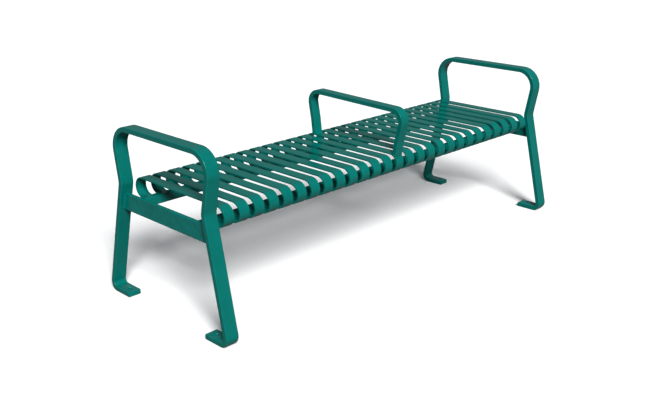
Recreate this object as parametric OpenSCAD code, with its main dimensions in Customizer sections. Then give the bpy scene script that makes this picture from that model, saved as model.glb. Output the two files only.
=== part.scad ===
// Backless steel strap bench with two end frames and a centre arm.
// Millimetres, +Z up, the bench runs along X and its front faces -Y.
// The origin is the middle of the footprint, on the ground.

/* [End frames] */
// Distance between the centre lines of the two end frames
frame_span = 1828.8; // [1800:0.1:2100]
// Width of the flat bar that each end frame is bent from
frame_bar_w = 50.8; // [40:0.1:60]
// Thickness of that flat bar
frame_bar_t = 19.05; // [12:0.05:20]
// Height of the arm over the ground
frame_h = 640; // [600:0.5:700]
// Depth between the sharp corners that the feet are bent round
foot_depth = 674; // [630:0.2:720]
// Depth over the waist, where the legs come closest together
waist_depth = 479.4; // [470:0.2:500]
// Height of the waist
waist_z = 430.5; // [422:0.5:450]
// Depth between the sharp corners that the arm is bent round
arm_depth = 553.8; // [520:0.2:600]
// Length of each foot, from that corner to its tip
foot_len = 118; // [105:1:150]
// Radius of the bend between foot and leg, on the bar's centre line
foot_bend_r = 24; // [18:1:30]
// Radius of the bend at the waist, on the bar's centre line
waist_bend_r = 57; // [30:1:80]
// Radius of the bend at the arm corner, on the bar's centre line
arm_bend_r = 72; // [40:1:90]

/* [Anchor holes] */
// Diameter of the ground anchor hole in each foot
anchor_d = 14; // [9:0.5:20]
// Distance of the hole's centre from that corner
anchor_inset = 87; // [60:1:90]

/* [Seat straps] */
// Height of the seat over the ground
seat_z = 440; // [430:1:450]
// Depth of the seat over the two rolled edges
seat_depth = 494; // [480:1:520]
// Number of straps along the seat
strap_count = 27; // [21:2:27]
// Distance from one strap to the next
strap_pitch = 65; // [60:0.5:66]
// Width of a strap
strap_w = 41.3; // [30:0.1:50]
// Thickness of a strap
strap_t = 5.2; // [4:0.05:8]
// Outside radius of the rolled edge
roll_r = 38; // [30:0.5:40]

/* [Seat rails] */
// Side of the square tube
rail_size = 31.75; // [25:0.25:38]
// Wall of the square tube
rail_wall = 3; // [2:0.25:5]
// Depth over the outsides of the two rails
rail_depth = 356; // [330:1:370]

/* [Crossbars] */
// Thickness of the flat bar that stands on edge between the legs
crossbar_t = 12.7; // [8:0.1:20]
// Height of the flat bar
crossbar_h = 63.5; // [50:0.5:70]
// Drop of its upper edge below the seat
crossbar_drop = 48.5; // [40:0.5:60]

/* [Centre arm] */
// Width of the arm's flat bar
arm_bar_w = 41.3; // [30:0.1:45]
// Thickness of the arm's flat bar
arm_bar_t = 17; // [8:0.1:18]
// Height of the arm over the ground
arm_h = 628; // [600:1:660]
// Depth between the bar's centre lines at the two ends of the arm
arm_foot_depth = 426; // [400:1:440]
// Depth between the bar's centre lines at the waist
arm_waist_depth = 445; // [430:1:470]
// Height of the arm's waist
arm_waist_z = 499.5; // [480:0.5:520]
// Depth between the bar's centre lines at the arm's corners
arm_top_depth = 500; // [480:1:540]
// Radius of the bend at the waist, on the bar's centre line
arm_waist_r = 55; // [30:1:80]
// Radius of the bend at the corner, on the bar's centre line
arm_corner_r = 44; // [20:1:50]
// Distance that the arm stands forward of the seat's middle
arm_forward = 15.5; // [0:0.5:16]
// Angle that the arm slopes down towards the front
arm_tilt = 1.5; // [0:0.1:2]

/* [Welds] */
// Leg length of the fillet welds on the frames and the arm
weld_leg = 5; // [3:0.5:8]
// Leg length of the fillet welds under the straps
strap_weld_leg = 4; // [2:0.5:6]

/* [Hidden] */
$fn = 96;
facet_angle = 6;
tiny = 0.001;
bead_margin = 3;
arm_sink = roll_r / 2;
paint = "#007d6e";
weld_paint = "#00705f";

frame_x = frame_span / 2;
crossbar_top_z = seat_z - crossbar_drop;
crossbar_low_z = crossbar_top_z - crossbar_h;
crossbar_face_x = frame_x - crossbar_t / 2;
anchor_y = foot_depth / 2 - anchor_inset;

roll_y = seat_depth / 2 - roll_r;
roll_z = seat_z - roll_r;
strap_low_z = seat_z - 2 * roll_r;
middle_strap = (strap_count + 1) / 2;

rail_y = rail_depth / 2 - rail_size / 2;
rail_z = strap_low_z + strap_t / 2;
rail_len = frame_span - crossbar_t;

rear_arm_foot_y = arm_foot_depth / 2 - arm_forward;
arm_lean = (arm_waist_depth - arm_foot_depth) / 2 / (arm_waist_z - seat_z);
front_arm_foot_y = rear_arm_foot_y - arm_foot_depth * (cos(arm_tilt) + sin(arm_tilt) * arm_lean);

function strap_name(i) = str("seat_strap_", i < 10 ? "0" : "", i);
function strap_x(i) = (i - middle_strap) * strap_pitch;

// Points of one half of an end frame's centre line, from foot tip to arm corner.
frame_half = [
    [foot_depth / 2 - foot_len, frame_bar_t / 2],
    [foot_depth / 2 - frame_bar_t / 2, frame_bar_t / 2],
    [waist_depth / 2 - frame_bar_t / 2, waist_z],
    [arm_depth / 2 - frame_bar_t / 2, frame_h - frame_bar_t / 2]
];
frame_half_bends = [0, foot_bend_r, waist_bend_r, arm_bend_r];

// Points of the rear half of the centre arm, from below the seat to its corner.
arm_half = [
    [arm_foot_depth / 2 - arm_sink * arm_lean, seat_z - arm_sink],
    [arm_waist_depth / 2, arm_waist_z],
    [arm_top_depth / 2, arm_h - arm_bar_t / 2]
];
arm_half_bends = [0, arm_waist_r, arm_corner_r];

// Points of one half of a strap, from its welded end to the seat's edge.
strap_half = [
    [rail_depth / 2, strap_low_z + strap_t / 2],
    [seat_depth / 2 - strap_t / 2, strap_low_z + strap_t / 2],
    [seat_depth / 2 - strap_t / 2, seat_z - strap_t / 2]
];
strap_half_bends = [0, roll_r - strap_t / 2, roll_r - strap_t / 2];

// A half path joined to its own mirror image.
function reversed(list) = [for (i = [len(list) - 1 : -1 : 0]) list[i]];
function mirrored(points) = [for (p = reversed(points)) [-p[0], p[1]]];
function whole_path(half) = concat(half, mirrored(half));
function whole_bends(half) = concat(half, reversed(half));

// Vector helpers for the bend geometry.
function unit(v) = v / norm(v);
function turn(p, i) = acos(unit(p[i] - p[i - 1]) * unit(p[i + 1] - p[i]));
function setback(p, r, i) = r[i] * tan(turn(p, i) / 2);
function is_bend(p, i) = i > 0 && i < len(p) - 1;
function heading(v) = atan2(v[1], v[0]);
function ray(angle) = [cos(angle), sin(angle)];
function side(a, b) = sign(a[0] * b[1] - a[1] * b[0]);

// Depth coordinate of a leg's inner face at height z, below the waist.
function leg_slope() = (frame_half[2][0] - frame_half[1][0]) / (frame_half[2][1] - frame_half[1][1]);
function leg_inner_y(z) =
    frame_half[1][0]
    + (z - frame_half[1][1]) * leg_slope()
    - frame_bar_t / 2 * sqrt(1 + leg_slope() * leg_slope());

// Outline of a flat bar of thickness t that follows the points p with bend radii r.
// Each side of the bar lies at a signed distance to the left of the path.
function bend_side(p, r, left, i) =
    let (
        into = unit(p[i] - p[i - 1]),
        hand = side(into, unit(p[i + 1] - p[i])),
        centre = p[i] - into * setback(p, r, i) + hand * r[i] * [-into[1], into[0]],
        first = heading(into) - hand * 90,
        steps = ceil(turn(p, i) / facet_angle)
    )
    [for (k = [0 : steps]) centre + (r[i] - hand * left) * ray(first + hand * turn(p, i) * k / steps)];
function end_side(p, left, i) =
    let (along = i == 0 ? unit(p[1] - p[0]) : unit(p[i] - p[i - 1]))
    [p[i] + left * [-along[1], along[0]]];
function bar_side(p, r, left) =
    [for (i = [0 : len(p) - 1]) each is_bend(p, i) ? bend_side(p, r, left, i) : end_side(p, left, i)];
function distinct(points) =
    [for (i = [0 : len(points) - 1]) if (i == 0 || norm(points[i] - points[i - 1]) > tiny) points[i]];

module bent_section(p, r, t) {
    polygon(distinct(concat(bar_side(p, r, t / 2), reversed(bar_side(p, r, -t / 2)))));
}

// Turns a section drawn in depth and height into a bar of width w across X.
module across_x(w, x = 0) {
    translate([x - w / 2, 0, 0]) rotate([90, 0, 90]) linear_extrude(height = w) children();
}

module anchor_hole(y) {
    translate([0, y, -1]) cylinder(d = anchor_d, h = frame_bar_t + 2);
}

module end_frame(x) {
    color(paint) translate([x, 0, 0]) difference() {
        across_x(frame_bar_w) {
            bent_section(whole_path(frame_half), whole_bends(frame_half_bends), frame_bar_t);
        }
        anchor_hole(anchor_y);
        anchor_hole(-anchor_y);
    }
}

module crossbar(x) {
    top_y = leg_inner_y(crossbar_top_z);
    low_y = leg_inner_y(crossbar_low_z);
    color(paint) across_x(crossbar_t, x) polygon([
        [-low_y, crossbar_low_z],
        [low_y, crossbar_low_z],
        [top_y, crossbar_top_z],
        [-top_y, crossbar_top_z]
    ]);
}

module seat_rail(y) {
    bore = rail_size - 2 * rail_wall;
    color(paint) across_x(rail_len) translate([y, rail_z]) difference() {
        square(rail_size, center = true);
        square(bore, center = true);
    }
}

module seat_strap(x) {
    color(paint) across_x(strap_w, x) {
        bent_section(whole_path(strap_half), whole_bends(strap_half_bends), strap_t);
    }
}

// Solid outline of the seat, as seen from the end of the bench.
module seat_outline() {
    translate([-roll_y, roll_z]) circle(roll_r);
    translate([roll_y, roll_z]) circle(roll_r);
    translate([-roll_y, strap_low_z]) square([2 * roll_y, 2 * roll_r]);
}

// The arm's section, turned about its rear foot so that the front stands lower.
module arm_section() {
    translate([rear_arm_foot_y, seat_z]) rotate(arm_tilt) translate([-arm_foot_depth / 2, -seat_z]) {
        bent_section(whole_path(arm_half), whole_bends(arm_half_bends), arm_bar_t);
    }
}

// Each foot of the arm is cut to the seat that it stands on.
module centre_arm() {
    color(paint) across_x(arm_bar_w) difference() {
        arm_section();
        seat_outline();
    }
}

// Fillet welds along both legs, on both faces of a crossbar.
module crossbar_beads() {
    lean = atan(leg_slope());
    bead_len = crossbar_h / cos(lean) - 2 * bead_margin;
    for (mx = [0, 1], my = [0, 1]) {
        mirror([mx, 0, 0]) mirror([0, my, 0])
        translate([crossbar_t / 2, leg_inner_y(crossbar_low_z), crossbar_low_z])
        rotate([-lean, 0, 0])
        translate([0, 0, bead_margin])
        linear_extrude(height = bead_len)
        polygon([[0, 0], [weld_leg, 0], [0, -weld_leg]]);
    }
}

// Fillet welds round the end of one rail, on a face that looks along -X.
module rail_end_beads() {
    bead_len = rail_size - 2 * bead_margin;
    for (quarter = [0 : 3]) {
        rotate([quarter * 90, 0, 0])
        translate([0, rail_size / 2, -bead_len / 2])
        linear_extrude(height = bead_len)
        polygon([[0, 0], [-weld_leg, 0], [0, weld_leg]]);
    }
}

module frame_welds(hand) {
    color(weld_paint) {
        translate([hand * frame_x, 0, 0]) crossbar_beads();
        mirror([hand < 0 ? 1 : 0, 0, 0]) {
            translate([crossbar_face_x, -rail_y, rail_z]) rail_end_beads();
            translate([crossbar_face_x, rail_y, rail_z]) rail_end_beads();
        }
    }
}

// One fillet weld under the end of each strap, against the rail's outer face.
module strap_welds(hand) {
    color(weld_paint) for (i = [1 : strap_count]) {
        across_x(strap_w, strap_x(i)) mirror([hand < 0 ? 1 : 0, 0]) {
            translate([rail_depth / 2, strap_low_z]) {
                polygon([[0, 0], [strap_weld_leg, 0], [0, -strap_weld_leg]]);
            }
        }
    }
}

// Height of the seat's upper surface at depth y.
function seat_top_z(y) =
    abs(y) < roll_y ? seat_z : roll_z + sqrt(roll_r * roll_r - pow(abs(y) - roll_y, 2));

// Round beads where the faces of the arm's feet meet the seat.
module arm_welds() {
    color(weld_paint) across_x(arm_bar_w) difference() {
        for (foot_y = [rear_arm_foot_y, front_arm_foot_y], face = [-1, 1]) {
            face_y = foot_y + face * arm_bar_t / 2;
            translate([face_y, seat_top_z(face_y)]) circle(weld_leg);
        }
        arm_section();
        seat_outline();
    }
}

end_frame(-frame_x);  // end_frame_left
end_frame(frame_x);  // end_frame_right
crossbar(-frame_x);  // crossbar_left
crossbar(frame_x);  // crossbar_right
seat_rail(-rail_y);  // seat_rail_front
seat_rail(rail_y);  // seat_rail_rear
for (i = [1 : strap_count]) {
    seat_strap(strap_x(i));
}
centre_arm();
frame_welds(-1);  // frame_welds_left
frame_welds(1);  // frame_welds_right
strap_welds(-1);  // strap_welds_front
strap_welds(1);  // strap_welds_rear
arm_welds();
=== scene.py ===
# %% [markdown]
# # A backless strap bench, step by step
# This lesson builds the looks of a welded steel bench round its engineering frame.
# The bench has two end frames of bent flat bar, two crossbars, two seat rails,
# a row of rolled seat straps, a centre arm, and the weld beads that hold it all.
# The frame gives every part its place. Blender adds soft edges, weld ripples and paint.

# %% Load the engineering frame
import math
import bpy
from mathutils import Matrix, Vector


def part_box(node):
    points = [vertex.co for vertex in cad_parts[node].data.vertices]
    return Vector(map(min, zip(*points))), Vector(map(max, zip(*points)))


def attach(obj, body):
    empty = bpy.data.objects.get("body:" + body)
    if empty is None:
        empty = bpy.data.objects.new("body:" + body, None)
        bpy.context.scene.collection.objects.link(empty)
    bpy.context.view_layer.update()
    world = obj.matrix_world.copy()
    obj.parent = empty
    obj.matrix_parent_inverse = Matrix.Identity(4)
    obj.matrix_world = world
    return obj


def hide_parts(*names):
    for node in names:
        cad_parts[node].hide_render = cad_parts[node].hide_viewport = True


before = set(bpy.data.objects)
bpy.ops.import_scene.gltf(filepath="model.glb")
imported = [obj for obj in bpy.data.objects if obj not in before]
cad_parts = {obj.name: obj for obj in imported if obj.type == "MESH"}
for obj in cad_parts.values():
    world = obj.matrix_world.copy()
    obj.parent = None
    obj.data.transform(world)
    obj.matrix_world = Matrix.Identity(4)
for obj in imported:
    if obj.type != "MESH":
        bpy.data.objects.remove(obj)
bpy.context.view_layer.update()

# %% [markdown]
# ## The camera
# The bench is seen from its front left corner, from a little under standing height.
# The lens is a normal one. A small shift frames the bench without tilting the view.

# %% Make the camera
SENSOR_MM = 36.0
LENS_MM = 49.486
CAMERA_PLACE = Vector((-2.5399, -2.3225, 1.3903))
CAMERA_HEADING = math.radians(46.27)
CAMERA_PITCH = math.radians(16.61)
CAMERA_ROLL = math.radians(-0.47)
CAMERA_SHIFT = (0.0462, -0.0615)


def make_camera():
    data = bpy.data.cameras.new("bench_camera")
    data.sensor_width = SENSOR_MM
    data.lens = LENS_MM
    data.shift_x, data.shift_y = CAMERA_SHIFT
    camera = bpy.data.objects.new("bench_camera", data)
    flat = math.cos(CAMERA_PITCH)
    look = Vector((flat * math.cos(CAMERA_HEADING), flat * math.sin(CAMERA_HEADING), -math.sin(CAMERA_PITCH)))
    right = look.cross(Vector((0, 0, 1))).normalized()
    up = right.cross(look)
    tilted_up = math.cos(CAMERA_ROLL) * up - math.sin(CAMERA_ROLL) * right
    tilted_right = look.cross(tilted_up)
    turn = Matrix((tilted_right, tilted_up, -look)).transposed()
    camera.matrix_world = Matrix.Translation(CAMERA_PLACE) @ turn.to_4x4()
    bpy.context.scene.collection.objects.link(camera)
    bpy.context.scene.camera = camera
    return camera


camera = make_camera()
bpy.context.scene.view_settings.view_transform = "Standard"
print("camera lens:", round(camera.data.lens, 2), "mm")

# %% [markdown]
# ## Sizes from the workshop drawing
# A bent bar is drawn as a line with sharp corners, and each corner has a bend radius.
# The overall places come from the frame's boxes. A box can't tell how thick a bar is
# or how it bends, so those sizes are named here once, in metres.

# %% Sizes in metres
frame_low, frame_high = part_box("end_frame_right")
cross_low, cross_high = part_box("crossbar_right")
rail_low, rail_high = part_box("seat_rail_rear")
strap_low, strap_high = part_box("seat_strap_01")
next_strap_low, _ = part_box("seat_strap_02")
arm_low, arm_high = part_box("centre_arm")

FRAME_X = (frame_low.x + frame_high.x) / 2
FRAME_BAR_W = frame_high.x - frame_low.x
FRAME_BAR_T = 0.01905
FRAME_H = frame_high.z
FOOT_CORNER_Y = 0.337
FOOT_TIP_Y = 0.219
WAIST_Y = 0.2397
WAIST_Z = 0.4305
ARM_CORNER_Y = 0.2769
FOOT_BEND, WAIST_BEND, ARM_BEND = 0.024, 0.057, 0.072
ANCHOR_Y = 0.250
ANCHOR_R = 0.007

STRAP_W = strap_high.x - strap_low.x
STRAP_T = 0.0052
STRAP_PITCH = next_strap_low.x - strap_low.x
STRAP_COUNT = sum(name.startswith("seat_strap_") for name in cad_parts)
SEAT_Z = strap_high.z
ROLL_R = (strap_high.z - strap_low.z) / 2
ROLL_Y = strap_high.y - ROLL_R
ROLL_Z = SEAT_Z - ROLL_R

CENTRE_BAR_W = arm_high.x - arm_low.x
CENTRE_BAR_T = 0.017
CENTRE_H = 0.628
CENTRE_FORWARD = 0.0155
CENTRE_TILT = math.radians(1.5)
CENTRE_FOOT_Y, CENTRE_WAIST_Y, CENTRE_TOP_Y = 0.213, 0.2225, 0.250
CENTRE_WAIST_Z = 0.4995
CENTRE_WAIST_BEND, CENTRE_CORNER_BEND = 0.055, 0.044

RAIL_Y = (rail_low.y + rail_high.y) / 2
RAIL_Z = (rail_low.z + rail_high.z) / 2
RAIL_SIZE = rail_high.z - rail_low.z
CROSSBAR_T = cross_high.x - cross_low.x
BAR_EDGE_R = 0.0026
STRAP_EDGE_R = 0.0014
BEND_STEPS = 16
print("straps:", STRAP_COUNT, "pitch:", round(STRAP_PITCH, 4), "roll radius:", round(ROLL_R, 4))

# %% [markdown]
# ## A short way to write node trees
# Geometry trees and shader groups are both lists of nodes and links.
# This small class adds one node per call and links or sets its inputs by name,
# so that each tree further down reads like a recipe.

# %% The recipe helper
class Recipe:
    def __init__(self, tree):
        self.tree = tree
        self.start = None
        self.end = None

    @classmethod
    def group(cls, name, kind, inputs, outputs):
        tree = bpy.data.node_groups.new(name, kind)
        for label, socket_type, default in inputs:
            socket = tree.interface.new_socket(label, in_out="INPUT", socket_type=socket_type)
            if default is not None:
                socket.default_value = default
        for label, socket_type in outputs:
            tree.interface.new_socket(label, in_out="OUTPUT", socket_type=socket_type)
        recipe = cls(tree)
        recipe.start = tree.nodes.new("NodeGroupInput").outputs
        recipe.end = tree.nodes.new("NodeGroupOutput").inputs
        return recipe

    def add(self, kind, values=None, **settings):
        node = self.tree.nodes.new(kind)
        for key, value in settings.items():
            setattr(node, key, value)
        for key, value in (values or {}).items():
            self.feed(node.inputs[key], value)
        return node

    def feed(self, socket, value):
        if isinstance(value, bpy.types.NodeSocket):
            self.tree.links.new(value, socket)
        else:
            socket.default_value = value

    def use(self, group, values):
        kind = "GeometryNodeGroup" if self.tree.bl_idname == "GeometryNodeTree" else "ShaderNodeGroup"
        node = self.add(kind, node_tree=group)
        for key, value in values.items():
            self.feed(node.inputs[key], value)
        return node

    def maths(self, operation, a, b=0.0):
        return self.add("ShaderNodeMath", {0: a, 1: b}, operation=operation).outputs[0]

    def spread(self, value, low, high, new_low=0.0, new_high=1.0):
        values = {"Value": value, "From Min": low, "From Max": high, "To Min": new_low, "To Max": new_high}
        return self.add("ShaderNodeMapRange", values).outputs["Result"]

    # A Mix node keeps the sockets for colours at places 6 and 7, and its colour result at 2.
    def mix_colour(self, factor, a, b):
        node = self.add("ShaderNodeMix", data_type="RGBA")
        for place, value in ((0, factor), (6, a), (7, b)):
            self.feed(node.inputs[place], value)
        return node.outputs[2]


print("recipe helper ready")

# %% [markdown]
# ## Paint
# The whole bench wears one glossy green powder coat. Powder melts in the oven,
# so it flows to a faint orange peel, and it thins at sharp edges; those edges are
# painted a lighter green, which is partly the thin coat and partly a painted highlight.
# so it flows to a faint orange peel, and it thins at sharp edges.
# Outdoors it picks up a little dust low down. Each of these effects is a shader group,
# so that every paint on the bench can share it with its own strength.

# %% Shader groups for the paint
MOTTLE_SCALE = 9.0
WEAR_AND_HIGHLIGHT_RANGE = (0.35, 0.7)
FACING_UP_RANGE = (0.3, 1.0)
SPECKLE_SCALE = 35.0
SPECKLE_RANGE = (0.45, 0.75)


def orange_peel_group():
    recipe = Recipe.group(
        "orange_peel",
        "ShaderNodeTree",
        [("Ripple Size", "NodeSocketFloat", 220.0), ("Strength", "NodeSocketFloat", 0.1)],
        [("Height", "NodeSocketFloat"), ("Mottle", "NodeSocketFloat")],
    )
    place = recipe.add("ShaderNodeTexCoord").outputs["Object"]
    fine = recipe.add("ShaderNodeTexNoise", {"Vector": place, "Detail": 2.0})
    recipe.feed(fine.inputs["Scale"], recipe.start["Ripple Size"])
    broad = recipe.add("ShaderNodeTexNoise", {"Vector": place, "Scale": MOTTLE_SCALE, "Detail": 3.0})
    height = recipe.maths("MULTIPLY", fine.outputs[0], recipe.start["Strength"])
    recipe.feed(recipe.end["Height"], height)
    recipe.feed(recipe.end["Mottle"], broad.outputs[0])
    return recipe.tree


# Edge mask: where the surface turns sharply. It marks a thin coat and also a painted edge highlight.
def edge_wear_and_highlight_group():
    recipe = Recipe.group(
        "edge_wear_and_highlight",
        "ShaderNodeTree",
        [("Amount", "NodeSocketFloat", 0.5), ("Breakup", "NodeSocketFloat", 60.0)],
        [("Mask", "NodeSocketFloat")],
    )
    place = recipe.add("ShaderNodeTexCoord").outputs["Object"]
    edge = recipe.add("ShaderNodeAttribute", attribute_name="edge", attribute_type="GEOMETRY").outputs["Fac"]
    noise = recipe.add("ShaderNodeTexNoise", {"Vector": place, "Detail": 4.0})
    recipe.feed(noise.inputs["Scale"], recipe.start["Breakup"])
    broken = recipe.spread(noise.outputs[0], *WEAR_AND_HIGHLIGHT_RANGE)
    mask = recipe.maths("MULTIPLY", recipe.maths("MULTIPLY", edge, broken), recipe.start["Amount"])
    recipe.feed(recipe.end["Mask"], mask)
    return recipe.tree


def settled_dust_group():
    recipe = Recipe.group(
        "settled_dust",
        "ShaderNodeTree",
        [("Amount", "NodeSocketFloat", 0.2), ("Top", "NodeSocketFloat", 0.25)],
        [("Mask", "NodeSocketFloat")],
    )
    place = recipe.add("ShaderNodeTexCoord").outputs["Object"]
    height = recipe.add("ShaderNodeSeparateXYZ", {0: place}).outputs["Z"]
    facing = recipe.add("ShaderNodeSeparateXYZ", {0: recipe.add("ShaderNodeNewGeometry").outputs["Normal"]})
    low = recipe.spread(height, recipe.start["Top"], 0.0)
    up = recipe.spread(facing.outputs["Z"], *FACING_UP_RANGE)
    noise = recipe.add("ShaderNodeTexNoise", {"Vector": place, "Scale": SPECKLE_SCALE, "Detail": 5.0})
    speckle = recipe.spread(noise.outputs[0], *SPECKLE_RANGE)
    mask = recipe.maths("MULTIPLY", recipe.maths("MULTIPLY", low, up), speckle)
    recipe.feed(recipe.end["Mask"], recipe.maths("MULTIPLY", mask, recipe.start["Amount"]))
    return recipe.tree


ORANGE_PEEL = orange_peel_group()
EDGE_WEAR_AND_HIGHLIGHT = edge_wear_and_highlight_group()
SETTLED_DUST = settled_dust_group()
print("shader groups:", ORANGE_PEEL.name, EDGE_WEAR_AND_HIGHLIGHT.name, SETTLED_DUST.name)

# %% Mix the paints
GREEN = (0.0, 0.126, 0.106, 1.0)
DEEP_GREEN = (0.0, 0.110, 0.092, 1.0)
# A lighter, bluer green for sharp edges: partly the thin coat there, partly a painted highlight.
THIN_COAT_HIGHLIGHT_GREEN = (0.0, 0.18, 0.165, 1.0)
DUST = (0.34, 0.33, 0.30, 1.0)
DUST_TOP = 0.22
DUST_DULLING = 0.3
EDGE_BREAKUP = 45.0
TONE_RANGE = (0.3, 0.7)
POLISH_RANGE = (0.25, 0.75)
SMOOTHER, ROUGHER = 0.05, 0.06
PEEL_DEPTH = 0.0004
PAINT_SPECULAR = 0.25


def make_paint(name, ripple, wear_and_highlight, dust, rough, bump):
    material = bpy.data.materials.new(name)
    material.use_nodes = True
    recipe = Recipe(material.node_tree)
    shader = material.node_tree.nodes["Principled BSDF"]
    peel = recipe.use(ORANGE_PEEL, {"Ripple Size": ripple, "Strength": 1.0})
    # Edge mask for the thin coat and the painted edge highlight.
    worn_and_highlit = recipe.use(EDGE_WEAR_AND_HIGHLIGHT, {"Amount": wear_and_highlight, "Breakup": EDGE_BREAKUP})
    dusty = recipe.use(SETTLED_DUST, {"Amount": dust, "Top": DUST_TOP})
    tone = recipe.spread(peel.outputs["Mottle"], *TONE_RANGE)
    base = recipe.mix_colour(tone, DEEP_GREEN, GREEN)
    # Sharp edges take the lighter green: thin coat plus a painted edge highlight.
    edge_highlit = recipe.mix_colour(worn_and_highlit.outputs["Mask"], base, THIN_COAT_HIGHLIGHT_GREEN)
    coloured = recipe.mix_colour(dusty.outputs["Mask"], edge_highlit, DUST)
    recipe.feed(shader.inputs["Base Color"], coloured)
    polished = recipe.spread(peel.outputs["Mottle"], *POLISH_RANGE, rough - SMOOTHER, rough + ROUGHER)
    dulling = recipe.maths("MULTIPLY", dusty.outputs["Mask"], DUST_DULLING)
    dulled = recipe.maths("ADD", polished, dulling)
    recipe.feed(shader.inputs["Roughness"], dulled)
    relief = recipe.add("ShaderNodeBump", {"Strength": bump, "Distance": PEEL_DEPTH})
    recipe.feed(relief.inputs["Height"], peel.outputs["Height"])
    recipe.feed(shader.inputs["Normal"], relief.outputs[0])
    shader.inputs["Specular IOR Level"].default_value = PAINT_SPECULAR
    return material


# The edge amount of each paint also sets the strength of its painted edge highlight.
FRAME_PAINT = make_paint("frame_paint", ripple=260.0, wear_and_highlight=0.5, dust=0.08, rough=0.20, bump=0.25)
STRAP_PAINT = make_paint("strap_paint", ripple=300.0, wear_and_highlight=0.45, dust=0.0, rough=0.17, bump=0.22)
RAIL_PAINT = make_paint("rail_paint", ripple=260.0, wear_and_highlight=0.3, dust=0.0, rough=0.24, bump=0.25)
WELD_PAINT = make_paint("weld_paint", ripple=180.0, wear_and_highlight=0.2, dust=0.0, rough=0.36, bump=0.5)
print("paints:", [m.name for m in (FRAME_PAINT, STRAP_PAINT, RAIL_PAINT, WELD_PAINT)])

# %% [markdown]
# ## Bending a flat bar
# The shop bends each bar on edgeless dies, so every corner is a clean arc.
# The tree takes a line with sharp corners, rounds each by its own bend radius,
# sweeps the bar's rectangle along it, and stands the flat drawing upright.
# One tree then serves the end frames, the centre arm and the seat straps.

# %% The bent bar tree
STAND_UP = (math.pi / 2, 0, math.pi / 2)


def bent_bar_tree():
    recipe = Recipe.group(
        "bent_bar",
        "GeometryNodeTree",
        [
            ("Geometry", "NodeSocketGeometry", None),
            ("Bar Width", "NodeSocketFloat", FRAME_BAR_W),
            ("Bar Thickness", "NodeSocketFloat", FRAME_BAR_T),
            ("Bend Steps", "NodeSocketInt", BEND_STEPS),
            ("Place", "NodeSocketVector", None),
        ],
        [("Geometry", "NodeSocketGeometry")],
    )
    start = recipe.start
    line = recipe.add("GeometryNodeMeshToCurve", {"Mesh": start["Geometry"]})
    radius = recipe.add("GeometryNodeInputNamedAttribute", {"Name": "bend_radius"}, data_type="FLOAT")
    rounded = recipe.add("GeometryNodeFilletCurve", {"Curve": line.outputs[0]}, mode="POLY")
    recipe.feed(rounded.inputs["Count"], start["Bend Steps"])
    recipe.feed(rounded.inputs["Radius"], radius.outputs["Attribute"])
    steady = recipe.add("GeometryNodeSetCurveNormal", {"Curve": rounded.outputs[0]}, mode="Z_UP")
    section = recipe.add("GeometryNodeCurvePrimitiveQuadrilateral")
    recipe.feed(section.inputs["Width"], start["Bar Thickness"])
    recipe.feed(section.inputs["Height"], start["Bar Width"])
    swept = recipe.add("GeometryNodeCurveToMesh", {"Curve": steady.outputs[0], "Fill Caps": True})
    recipe.feed(swept.inputs["Profile Curve"], section.outputs[0])
    upright = recipe.add("GeometryNodeTransform", {"Geometry": swept.outputs[0]})
    upright.inputs["Rotation"].default_value = STAND_UP
    recipe.feed(upright.inputs["Translation"], start["Place"])
    smooth = recipe.add("GeometryNodeSetShadeSmooth", {"Geometry": upright.outputs[0]})
    recipe.feed(recipe.end["Geometry"], smooth.outputs[0])
    return recipe.tree


BENT_BAR = bent_bar_tree()
BAR_INPUTS = ("Geometry", "Bar Width", "Bar Thickness")
PLACED_BAR_INPUTS = BAR_INPUTS + ("Place",)
print("tree:", BENT_BAR.name, len(BENT_BAR.nodes), "nodes")

# %% [markdown]
# ## From tree to finished piece
# A real bar has rounded arrises, so each piece gets a narrow bevel on its hard edges.
# A second tree then measures how sharply the surface turns at each point and stores
# it as the attribute that the paint reads for thin edges and a painted edge highlight. The result becomes a
# plain mesh.

# %% Edge attribute, bevel and conversion
BEVEL_SEGMENTS = 3
BEVEL_ANGLE = math.radians(28)
TURN_LOW, TURN_HIGH = math.radians(7), math.radians(14)


def edge_attribute_tree():
    recipe = Recipe.group(
        "edge_attribute",
        "GeometryNodeTree",
        [("Geometry", "NodeSocketGeometry", None), ("Material", "NodeSocketMaterial", None)],
        [("Geometry", "NodeSocketGeometry")],
    )
    angle = recipe.add("GeometryNodeInputMeshEdgeAngle").outputs["Unsigned Angle"]
    sharp = recipe.spread(angle, TURN_LOW, TURN_HIGH)
    stored = recipe.add(
        "GeometryNodeStoreNamedAttribute",
        {"Geometry": recipe.start["Geometry"], "Name": "edge"},
        data_type="FLOAT",
        domain="POINT",
    )
    recipe.feed(stored.inputs["Value"], sharp)
    real = recipe.add("GeometryNodeRealizeInstances", {"Geometry": stored.outputs[0]})
    painted = recipe.add("GeometryNodeSetMaterial", {"Geometry": real.outputs[0]})
    recipe.feed(painted.inputs["Material"], recipe.start["Material"])
    recipe.feed(recipe.end["Geometry"], painted.outputs[0])
    return recipe.tree


EDGE_ATTRIBUTE = edge_attribute_tree()


def grow_with(piece, tree, values):
    modifier = piece.modifiers.new(tree.name, "NODES")
    modifier.node_group = tree
    for item in tree.interface.items_tree:
        if item.item_type == "SOCKET" and item.in_out == "INPUT" and item.name in values:
            modifier[item.identifier] = values[item.name]


def soften(piece, width):
    bevel = piece.modifiers.new("soft_edges", "BEVEL")
    bevel.width = width
    bevel.segments = BEVEL_SEGMENTS
    bevel.limit_method = "ANGLE"
    bevel.angle_limit = BEVEL_ANGLE
    bevel.harden_normals = True


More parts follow.
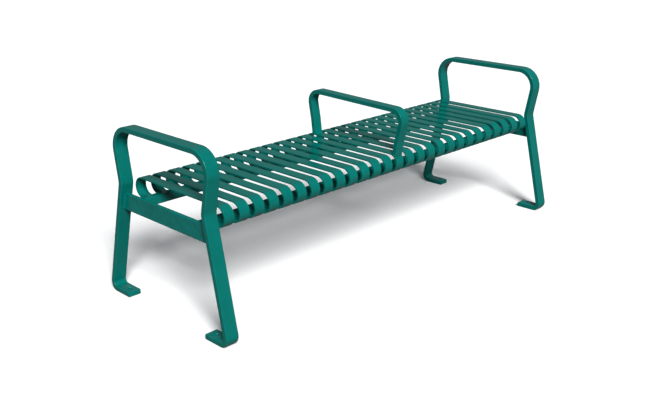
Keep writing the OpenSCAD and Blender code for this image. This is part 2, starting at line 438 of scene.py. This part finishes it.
def settle(piece, paint):
    grow_with(piece, EDGE_ATTRIBUTE, {"Material": paint})
    graph = bpy.context.evaluated_depsgraph_get()
    mesh = bpy.data.meshes.new_from_object(
        piece.evaluated_get(graph), preserve_all_data_layers=True, depsgraph=graph
    )
    piece.modifiers.clear()
    piece.data = mesh
    mesh.name = piece.name


def stand_in(piece, slot, *nodes):
    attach(piece, "root")
    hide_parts(*nodes)
    triangles = sum(len(face.vertices) - 2 for face in piece.data.polygons)
    print(piece.name, "stands for", len(nodes), "node(s),", triangles, "triangles")


def line_piece(name, points, radii):
    mesh = bpy.data.meshes.new(name)
    mesh.from_pydata([(y, z, 0.0) for y, z in points], [(i, i + 1) for i in range(len(points) - 1)], [])
    bends = mesh.attributes.new("bend_radius", "FLOAT", "POINT")
    bends.data.foreach_set("value", radii)
    piece = bpy.data.objects.new(name, mesh)
    bpy.context.scene.collection.objects.link(piece)
    return piece


def both_sides(points, radii):
    mirrored = [(-y, z) for y, z in reversed(points)]
    return points + mirrored, radii + radii[::-1]


print("finishing steps ready")

# %% [markdown]
# ## End frames
# Each end frame is one bar: foot, leg, waist, arm, and the same back down.
# The feet are drilled for ground anchors, so the tree cuts two holes
# after the sweep. Both frames come from the same drawing.

# %% The drilled frame tree
DRILL_LENGTH = 0.06
DRILL_SIDES = 48


def drilled_frame_tree():
    recipe = Recipe.group(
        "drilled_frame",
        "GeometryNodeTree",
        [
            ("Geometry", "NodeSocketGeometry", None),
            ("Bar Width", "NodeSocketFloat", FRAME_BAR_W),
            ("Bar Thickness", "NodeSocketFloat", FRAME_BAR_T),
            ("Place", "NodeSocketVector", None),
            ("Hole Radius", "NodeSocketFloat", ANCHOR_R),
            ("Hole Distance", "NodeSocketFloat", ANCHOR_Y),
        ],
        [("Geometry", "NodeSocketGeometry")],
    )
    start = recipe.start
    bar = recipe.use(BENT_BAR, {name: start[name] for name in PLACED_BAR_INPUTS})
    across = recipe.add("ShaderNodeCombineXYZ", {"Y": start["Hole Distance"]}).outputs[0]
    front = recipe.add("ShaderNodeVectorMath", {0: start["Place"], 1: across}, operation="SUBTRACT")
    rear = recipe.add("ShaderNodeVectorMath", {0: start["Place"], 1: across}, operation="ADD")
    spots = recipe.add("GeometryNodeMeshLine", {"Count": 2}, mode="END_POINTS")
    recipe.feed(spots.inputs["Start Location"], front.outputs[0])
    recipe.feed(spots.inputs["Offset"], rear.outputs[0])
    drill = recipe.add("GeometryNodeMeshCylinder", {"Vertices": DRILL_SIDES, "Depth": DRILL_LENGTH})
    recipe.feed(drill.inputs["Radius"], start["Hole Radius"])
    drills = recipe.add("GeometryNodeInstanceOnPoints", {"Points": spots.outputs[0]})
    recipe.feed(drills.inputs["Instance"], drill.outputs[0])
    real = recipe.add("GeometryNodeRealizeInstances", {"Geometry": drills.outputs[0]})
    cut = recipe.add("GeometryNodeMeshBoolean", operation="DIFFERENCE", solver="EXACT")
    recipe.feed(cut.inputs["Mesh 1"], bar.outputs[0])
    recipe.feed(cut.inputs["Mesh 2"], real.outputs[0])
    recipe.feed(recipe.end["Geometry"], cut.outputs[0])
    return recipe.tree


DRILLED_FRAME = drilled_frame_tree()
print("tree:", DRILLED_FRAME.name)

# %% Make both end frames
half_t = FRAME_BAR_T / 2
frame_points, frame_bends = both_sides(
    [
        (FOOT_TIP_Y, half_t),
        (FOOT_CORNER_Y - half_t, half_t),
        (WAIST_Y - half_t, WAIST_Z),
        (ARM_CORNER_Y - half_t, FRAME_H - half_t),
    ],
    [0.0, FOOT_BEND, WAIST_BEND, ARM_BEND],
)
for hand, side in (("left", -1), ("right", 1)):
    end_frame = line_piece("painted_frame_" + hand, frame_points, frame_bends)
    grow_with(end_frame, DRILLED_FRAME, {"Place": (side * FRAME_X, 0.0, 0.0)})
    soften(end_frame, BAR_EDGE_R)
    settle(end_frame, FRAME_PAINT)
    stand_in(end_frame, "frame_paint", "end_frame_" + hand)

# %% [markdown]
# ## Seat straps
# All the straps are the same: flat on top, rolled under at both edges,
# with a short leg back to the rail. The tree bends one strap and repeats it
# along the seat, which is how the maker sets them out with a spacer.

# %% The strap row tree
def strap_row_tree():
    recipe = Recipe.group(
        "strap_row",
        "GeometryNodeTree",
        [
            ("Geometry", "NodeSocketGeometry", None),
            ("Bar Width", "NodeSocketFloat", STRAP_W),
            ("Bar Thickness", "NodeSocketFloat", STRAP_T),
            ("Count", "NodeSocketInt", STRAP_COUNT),
            ("First X", "NodeSocketFloat", 0.0),
            ("Pitch", "NodeSocketFloat", STRAP_PITCH),
        ],
        [("Geometry", "NodeSocketGeometry")],
    )
    start = recipe.start
    bar = recipe.use(BENT_BAR, {name: start[name] for name in BAR_INPUTS})
    first = recipe.add("ShaderNodeCombineXYZ", {"X": start["First X"]}).outputs[0]
    step = recipe.add("ShaderNodeCombineXYZ", {"X": start["Pitch"]}).outputs[0]
    row = recipe.add("GeometryNodeMeshLine", {"Count": start["Count"]}, mode="OFFSET")
    recipe.feed(row.inputs["Start Location"], first)
    recipe.feed(row.inputs["Offset"], step)
    straps = recipe.add("GeometryNodeInstanceOnPoints", {"Points": row.outputs[0]})
    recipe.feed(straps.inputs["Instance"], bar.outputs[0])
    real = recipe.add("GeometryNodeRealizeInstances", {"Geometry": straps.outputs[0]})
    recipe.feed(recipe.end["Geometry"], real.outputs[0])
    return recipe.tree


STRAP_ROW = strap_row_tree()
print("tree:", STRAP_ROW.name)

# %% Make the seat
roll_r = ROLL_R - STRAP_T / 2
seat_low = strap_low.z + STRAP_T / 2
strap_points, strap_bends = both_sides(
    [
        (rail_high.y, seat_low),
        (strap_high.y - STRAP_T / 2, seat_low),
        (strap_high.y - STRAP_T / 2, SEAT_Z - STRAP_T / 2),
    ],
    [0.0, roll_r, roll_r],
)
seat = line_piece("painted_seat_straps", strap_points, strap_bends)
grow_with(seat, STRAP_ROW, {"First X": (strap_low.x + strap_high.x) / 2})
soften(seat, STRAP_EDGE_R)
settle(seat, STRAP_PAINT)
stand_in(seat, "strap_paint", *[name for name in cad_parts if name.startswith("seat_strap_")])

# %% [markdown]
# ## Centre arm
# The centre arm is a narrower bar that stands on the middle strap.
# Its feet are cut to the seat: the rear one to the flat, the front one to the roll.
# The front foot stands lower on the roll, so the whole arm slopes a little forward.
# A box and a cylinder with the seat's outline, a hair smaller, trim the feet.

# %% The centre arm tree
TRIM_GAP = 0.001
TRIM_DEPTH = 0.2
ROLL_SIDES = 96


def trimmed_arm_tree():
    recipe = Recipe.group(
        "trimmed_arm",
        "GeometryNodeTree",
        [
            ("Geometry", "NodeSocketGeometry", None),
            ("Bar Width", "NodeSocketFloat", CENTRE_BAR_W),
            ("Bar Thickness", "NodeSocketFloat", CENTRE_BAR_T),
            ("Place", "NodeSocketVector", None),
            ("Roll Radius", "NodeSocketFloat", ROLL_R - TRIM_GAP),
            ("Roll Depth", "NodeSocketFloat", ROLL_Y),
            ("Roll Height", "NodeSocketFloat", ROLL_Z),
        ],
        [("Geometry", "NodeSocketGeometry")],
    )
    start = recipe.start
    bar = recipe.use(BENT_BAR, {name: start[name] for name in PLACED_BAR_INPUTS})
    roll = recipe.add("GeometryNodeMeshCylinder", {"Vertices": ROLL_SIDES, "Depth": TRIM_DEPTH})
    recipe.feed(roll.inputs["Radius"], start["Roll Radius"])
    along = (0.0, math.pi / 2, 0.0)
    front = recipe.add("ShaderNodeCombineXYZ", {"Z": start["Roll Height"]})
    recipe.feed(front.inputs["Y"], recipe.maths("MULTIPLY", start["Roll Depth"], -1.0))
    front_roll = recipe.add("GeometryNodeTransform", {"Geometry": roll.outputs[0], "Rotation": along})
    recipe.feed(front_roll.inputs["Translation"], front.outputs[0])
    size = recipe.add("ShaderNodeCombineXYZ", {"X": TRIM_DEPTH})
    recipe.feed(size.inputs["Y"], recipe.maths("MULTIPLY", start["Roll Depth"], 2.0))
    recipe.feed(size.inputs["Z"], recipe.maths("MULTIPLY", start["Roll Radius"], 2.0))
    flat = recipe.add("GeometryNodeMeshCube")
    recipe.feed(flat.inputs["Size"], size.outputs[0])
    middle = recipe.add("ShaderNodeCombineXYZ", {"Z": start["Roll Height"]})
    flat_seat = recipe.add("GeometryNodeTransform", {"Geometry": flat.outputs[0]})
    recipe.feed(flat_seat.inputs["Translation"], middle.outputs[0])
    cut_flat = recipe.add("GeometryNodeMeshBoolean", operation="DIFFERENCE", solver="EXACT")
    recipe.feed(cut_flat.inputs["Mesh 1"], bar.outputs[0])
    recipe.feed(cut_flat.inputs["Mesh 2"], flat_seat.outputs[0])
    cut_roll = recipe.add("GeometryNodeMeshBoolean", operation="DIFFERENCE", solver="EXACT")
    recipe.feed(cut_roll.inputs["Mesh 1"], cut_flat.outputs[0])
    recipe.feed(cut_roll.inputs["Mesh 2"], front_roll.outputs[0])
    recipe.feed(recipe.end["Geometry"], cut_roll.outputs[0])
    return recipe.tree


TRIMMED_ARM = trimmed_arm_tree()
print("tree:", TRIMMED_ARM.name)

# %% Make the centre arm
arm_lean = (CENTRE_WAIST_Y - CENTRE_FOOT_Y) / (CENTRE_WAIST_Z - SEAT_Z)
arm_sink = ROLL_R / 2


def turned(points, pivot, angle):
    cos_a, sin_a = math.cos(angle), math.sin(angle)
    moved = [(y - pivot[0], z - pivot[1]) for y, z in points]
    return [(pivot[0] + y * cos_a - z * sin_a, pivot[1] + y * sin_a + z * cos_a) for y, z in moved]


arm_points, arm_bends = both_sides(
    [
        (CENTRE_FOOT_Y - arm_sink * arm_lean, SEAT_Z - arm_sink),
        (CENTRE_WAIST_Y, CENTRE_WAIST_Z),
        (CENTRE_TOP_Y, CENTRE_H - CENTRE_BAR_T / 2),
    ],
    [0.0, CENTRE_WAIST_BEND, CENTRE_CORNER_BEND],
)
arm_points = turned(arm_points, (CENTRE_FOOT_Y, SEAT_Z), CENTRE_TILT)
centre_arm = line_piece("painted_centre_arm", arm_points, arm_bends)
grow_with(centre_arm, TRIMMED_ARM, {"Place": (0.0, -CENTRE_FORWARD, 0.0)})
soften(centre_arm, BAR_EDGE_R)
settle(centre_arm, FRAME_PAINT)
stand_in(centre_arm, "frame_paint", "centre_arm")

# %% [markdown]
# ## Crossbars and seat rails
# A crossbar is a plain flat bar on edge, sawn at both ends to the slope of the legs.
# A rail is a square tube with rounded corners. Both are straight, so a crossbar
# is drawn as an outline and thickened, and a rail is a straight line that is swept.

# %% Make the crossbars
def leg_inner_y(z):
    lower_y, upper_y = FOOT_CORNER_Y - half_t, WAIST_Y - half_t
    slope = (upper_y - lower_y) / (WAIST_Z - half_t)
    return lower_y + (z - half_t) * slope - half_t * math.hypot(1, slope)


def plate_piece(name, outline, x, thickness):
    count = len(outline)
    back = [(x - thickness / 2, y, z) for y, z in outline]
    front = [(x + thickness / 2, y, z) for y, z in outline]
    sides = [(i, (i + 1) % count, (i + 1) % count + count, i + count) for i in range(count)]
    faces = [tuple(reversed(range(count))), tuple(range(count, 2 * count))] + sides
    mesh = bpy.data.meshes.new(name)
    mesh.from_pydata(back + front, [], faces)
    mesh.shade_smooth()
    piece = bpy.data.objects.new(name, mesh)
    bpy.context.scene.collection.objects.link(piece)
    return piece


low_y, top_y = leg_inner_y(cross_low.z), leg_inner_y(cross_high.z)
crossbar_outline = [
    (-low_y, cross_low.z),
    (low_y, cross_low.z),
    (top_y, cross_high.z),
    (-top_y, cross_high.z),
]
for hand, side in (("left", -1), ("right", 1)):
    crossbar = plate_piece("painted_crossbar_" + hand, crossbar_outline, side * FRAME_X, CROSSBAR_T)
    soften(crossbar, BAR_EDGE_R)
    settle(crossbar, FRAME_PAINT)
    stand_in(crossbar, "frame_paint", "crossbar_" + hand)

# %% Make the seat rails
TUBE_CORNER_R = 0.003
TUBE_CORNER_STEPS = 5


def square_tube_tree():
    recipe = Recipe.group(
        "square_tube",
        "GeometryNodeTree",
        [
            ("Geometry", "NodeSocketGeometry", None),
            ("Side", "NodeSocketFloat", RAIL_SIZE),
            ("Corner Radius", "NodeSocketFloat", TUBE_CORNER_R),
        ],
        [("Geometry", "NodeSocketGeometry")],
    )
    line = recipe.add("GeometryNodeMeshToCurve", {"Mesh": recipe.start["Geometry"]})
    steady = recipe.add("GeometryNodeSetCurveNormal", {"Curve": line.outputs[0]}, mode="Z_UP")
    square = recipe.add("GeometryNodeCurvePrimitiveQuadrilateral")
    recipe.feed(square.inputs["Width"], recipe.start["Side"])
    recipe.feed(square.inputs["Height"], recipe.start["Side"])
    rounded = recipe.add("GeometryNodeFilletCurve", {"Curve": square.outputs[0]}, mode="POLY")
    recipe.feed(rounded.inputs["Count"], TUBE_CORNER_STEPS)
    recipe.feed(rounded.inputs["Radius"], recipe.start["Corner Radius"])
    swept = recipe.add("GeometryNodeCurveToMesh", {"Curve": steady.outputs[0], "Fill Caps": True})
    recipe.feed(swept.inputs["Profile Curve"], rounded.outputs[0])
    smooth = recipe.add("GeometryNodeSetShadeSmooth", {"Geometry": swept.outputs[0]})
    recipe.feed(recipe.end["Geometry"], smooth.outputs[0])
    return recipe.tree


SQUARE_TUBE = square_tube_tree()
for hand, side in (("front", -1), ("rear", 1)):
    mesh = bpy.data.meshes.new("rail_line")
    ends = [(rail_low.x, side * RAIL_Y, RAIL_Z), (rail_high.x, side * RAIL_Y, RAIL_Z)]
    mesh.from_pydata(ends, [(0, 1)], [])
    rail = bpy.data.objects.new("painted_rail_" + hand, mesh)
    bpy.context.scene.collection.objects.link(rail)
    grow_with(rail, SQUARE_TUBE, {})
    settle(rail, RAIL_PAINT)
    stand_in(rail, "rail_paint", "seat_rail_" + hand)

# %% [markdown]
# ## Weld beads
# A hand weld is a row of overlapping puddles, so its bead swells and narrows
# every few millimetres. The tree walks each joint line in small steps,
# and sweeps a circle along it that grows and shrinks by a wave plus a little noise.

# %% The weld bead tree
BEAD_STEP = 0.0011
BEAD_RIPPLE = 0.0055
BEAD_SIDES = 10
BEAD_SEED = 3.0
BEAD_NOISE_SCALE = 90.0
BEAD_NECK = 0.82
BEAD_UNEVEN = 0.12
FRAME_BEAD_R = 0.0042


def weld_bead_tree():
    recipe = Recipe.group(
        "weld_bead",
        "GeometryNodeTree",
        [
            ("Geometry", "NodeSocketGeometry", None),
            ("Bead Radius", "NodeSocketFloat", FRAME_BEAD_R),
            ("Step", "NodeSocketFloat", BEAD_STEP),
            ("Ripple Length", "NodeSocketFloat", BEAD_RIPPLE),
            ("Seed", "NodeSocketFloat", BEAD_SEED),
        ],
        [("Geometry", "NodeSocketGeometry")],
    )
    start = recipe.start
    line = recipe.add("GeometryNodeMeshToCurve", {"Mesh": start["Geometry"]})
    walked = recipe.add("GeometryNodeResampleCurve", {"Curve": line.outputs[0]}, mode="LENGTH")
    recipe.feed(walked.inputs["Length"], start["Step"])
    travelled = recipe.add("GeometryNodeSplineParameter").outputs["Length"]
    phase = recipe.maths("DIVIDE", travelled, start["Ripple Length"])
    wave = recipe.maths("ABSOLUTE", recipe.maths("SINE", recipe.maths("MULTIPLY", phase, math.pi)))
    place = recipe.add("GeometryNodeInputPosition").outputs[0]
    noise = recipe.add("ShaderNodeTexNoise", {"Vector": place}, noise_dimensions="4D")
    recipe.feed(noise.inputs["Scale"], BEAD_NOISE_SCALE)
    recipe.feed(noise.inputs["W"], start["Seed"])
    puddles = recipe.spread(wave, 0.0, 1.0, BEAD_NECK, 1.0)
    uneven = recipe.spread(noise.outputs[0], 0.0, 1.0, -BEAD_UNEVEN, BEAD_UNEVEN)
    swell = recipe.maths("ADD", puddles, uneven)
    circle = recipe.add("GeometryNodeCurvePrimitiveCircle", {"Resolution": BEAD_SIDES})
    recipe.feed(circle.inputs["Radius"], start["Bead Radius"])
    swept = recipe.add("GeometryNodeCurveToMesh", {"Curve": walked.outputs[0], "Fill Caps": True})
    recipe.feed(swept.inputs["Profile Curve"], circle.outputs[0])
    recipe.feed(swept.inputs["Scale"], swell)
    smooth = recipe.add("GeometryNodeSetShadeSmooth", {"Geometry": swept.outputs[0]})
    recipe.feed(recipe.end["Geometry"], smooth.outputs[0])
    return recipe.tree


WELD_BEAD = weld_bead_tree()


def weld_piece(name, lines, bead_radius, *nodes):
    points = [p for line in lines for p in line]
    mesh = bpy.data.meshes.new(name)
    mesh.from_pydata(points, [(2 * i, 2 * i + 1) for i in range(len(lines))], [])
    piece = bpy.data.objects.new(name, mesh)
    bpy.context.scene.collection.objects.link(piece)
    grow_with(piece, WELD_BEAD, {"Bead Radius": bead_radius})
    settle(piece, WELD_PAINT)
    stand_in(piece, "weld_paint", *nodes)


print("tree:", WELD_BEAD.name)

# %% Weld the frames
END_GAP = 0.003


def crossbar_joints(side):
    lines = []
    for face in (-1, 1):
        x = side * FRAME_X + face * CROSSBAR_T / 2
        for depth in (-1, 1):
            low = (x, depth * leg_inner_y(cross_low.z + END_GAP), cross_low.z + END_GAP)
            high = (x, depth * leg_inner_y(cross_high.z - END_GAP), cross_high.z - END_GAP)
            lines.append((low, high))
    return lines


def rail_end_joints(side):
    x = side * (FRAME_X - CROSSBAR_T / 2)
    reach = RAIL_SIZE / 2
    corners = [(-reach, -reach), (reach, -reach), (reach, reach), (-reach, reach)]
    lines = []
    for depth in (-1, 1):
        ring = [(x, depth * RAIL_Y + y, RAIL_Z + z) for y, z in corners]
        lines += list(zip(ring, ring[1:] + ring[:1]))
    return lines


for hand, side in (("left", -1), ("right", 1)):
    joints = crossbar_joints(side) + rail_end_joints(side)
    weld_piece("weld_beads_frame_" + hand, joints, FRAME_BEAD_R, "frame_welds_" + hand)

# %% Weld the straps and the centre arm
STRAP_BEAD_R = 0.0032
ARM_BEAD_R = 0.0038


def seat_top_z(y):
    past = abs(y) - ROLL_Y
    return SEAT_Z if past < 0 else ROLL_Z + math.sqrt(ROLL_R**2 - past**2)


def strap_joints(side):
    first = strap_low.x + END_GAP
    length = STRAP_W - 2 * END_GAP
    starts = [first + i * STRAP_PITCH for i in range(STRAP_COUNT)]
    y, z = side * rail_high.y, strap_low.z
    return [((x, y, z), (x + length, y, z)) for x in starts]


def arm_joints():
    reach = CENTRE_BAR_W / 2 - END_GAP / 2
    rear = CENTRE_FOOT_Y - CENTRE_FORWARD
    front = rear - 2 * CENTRE_FOOT_Y * (math.cos(CENTRE_TILT) + math.sin(CENTRE_TILT) * arm_lean)
    lines = []
    for foot in (rear, front):
        for face in (-1, 1):
            y = foot + face * CENTRE_BAR_T / 2
            z = seat_top_z(y)
            lines.append(((-reach, y, z), (reach, y, z)))
    return lines


weld_piece("weld_beads_straps_front", strap_joints(-1), STRAP_BEAD_R, "strap_welds_front")
weld_piece("weld_beads_straps_rear", strap_joints(1), STRAP_BEAD_R, "strap_welds_rear")
weld_piece("weld_beads_arm", arm_joints(), ARM_BEAD_R, "arm_welds")

# %% [markdown]
# ## Floor and light
# The bench stands on a plain pale floor in soft studio light. One broad light shines
# from the front left and above, so the shadow falls softly under and behind the bench,
# and the world gives an even fill. The floor bounces less light than its own paleness
# would, which keeps the undersides dark.

# %% Make the floor and the lights
FLOOR_HALF = 40.0
FLOOR_SEEN = (0.92, 0.92, 0.92, 1.0)
FLOOR_BOUNCE = (0.16, 0.16, 0.16, 1.0)
SKY_TINT = (0.88, 0.96, 1.0)
SKY_STRENGTH = 0.17
SUN_TRAVEL = (0.28, 0.45, -0.42)
SUN_SOFTNESS = math.radians(21)
SUN_STRENGTH = 5.5


def make_floor():
    mesh = bpy.data.meshes.new("floor")
    corners = [(x * FLOOR_HALF, y * FLOOR_HALF, 0) for x, y in ((-1, -1), (1, -1), (1, 1), (-1, 1))]
    mesh.from_pydata(corners, [], [(0, 1, 2, 3)])
    floor = bpy.data.objects.new("floor", mesh)
    bpy.context.scene.collection.objects.link(floor)
    material = bpy.data.materials.new("pale_floor")
    material.use_nodes = True
    recipe = Recipe(material.node_tree)
    shader = material.node_tree.nodes["Principled BSDF"]
    seen = recipe.add("ShaderNodeLightPath").outputs["Is Camera Ray"]
    tone = recipe.mix_colour(seen, FLOOR_BOUNCE, FLOOR_SEEN)
    recipe.feed(shader.inputs["Base Color"], tone)
    shader.inputs["Roughness"].default_value = 0.9
    shader.inputs["Specular IOR Level"].default_value = 0.0
    mesh.materials.append(material)


def soft_sun(name, travel, softness, strength):
    data = bpy.data.lights.new(name, "SUN")
    data.angle = softness
    data.energy = strength
    light = bpy.data.objects.new(name, data)
    light.rotation_euler = Vector(travel).to_track_quat("-Z", "Y").to_euler()
    bpy.context.scene.collection.objects.link(light)


def make_world(colour, strength):
    world = bpy.data.worlds.new("studio")
    world.use_nodes = True
    background = world.node_tree.nodes["Background"]
    background.inputs["Color"].default_value = (*colour, 1.0)
    background.inputs["Strength"].default_value = strength
    bpy.context.scene.world = world


make_floor()
make_world(SKY_TINT, SKY_STRENGTH)
soft_sun("key", SUN_TRAVEL, SUN_SOFTNESS, SUN_STRENGTH)
print("floor and lights ready")
